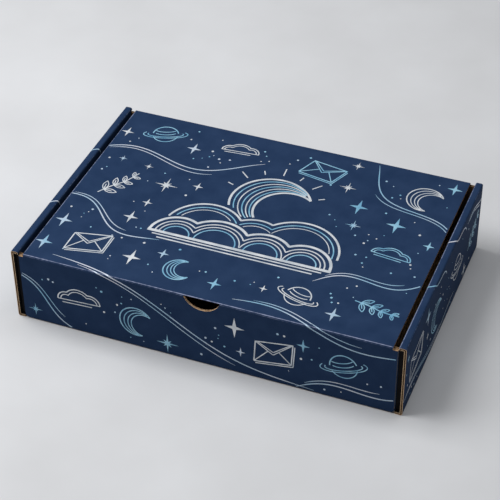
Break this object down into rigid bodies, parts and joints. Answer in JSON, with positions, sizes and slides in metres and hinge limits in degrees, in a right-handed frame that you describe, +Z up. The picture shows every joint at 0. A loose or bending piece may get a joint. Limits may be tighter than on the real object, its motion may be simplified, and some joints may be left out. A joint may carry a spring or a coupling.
{
  "type": "corrugated mailer box",
  "caption": "Shallow folded corrugated mailer box with rolled side walls, a hinged lid and a front flap with a half-moon thumb notch, for sending books.",
  "frame": {"origin": "on the underside of the base, in the middle of its width and depth", "axes": "+Z up, +X to the right seen from the front, the front flap at -Y"},
  "size_m": [0.3, 0.2, 0.062],
  "materials": {
    "printed_board": "matte print on kraft board"
  },
  "bodies": {
    "tray": {"tray": "printed_board"},
    "lid": {"lid": "printed_board"},
    "front_flap": {"front_flap": "printed_board"}
  },
  "joints": [
    {"name": "lid_hinge", "type": "hinge", "parent": "tray", "child": "lid", "pos_m": [0, 0.09959, 0.06059], "axis": [-1, 0, 0], "range_deg": [0, 170]},
    {"name": "flap_hinge", "type": "hinge", "parent": "lid", "child": "front_flap", "pos_m": [0, -0.09959, 0.06059], "axis": [-1, 0, 0], "range_deg": [0, 90]}
  ]
}
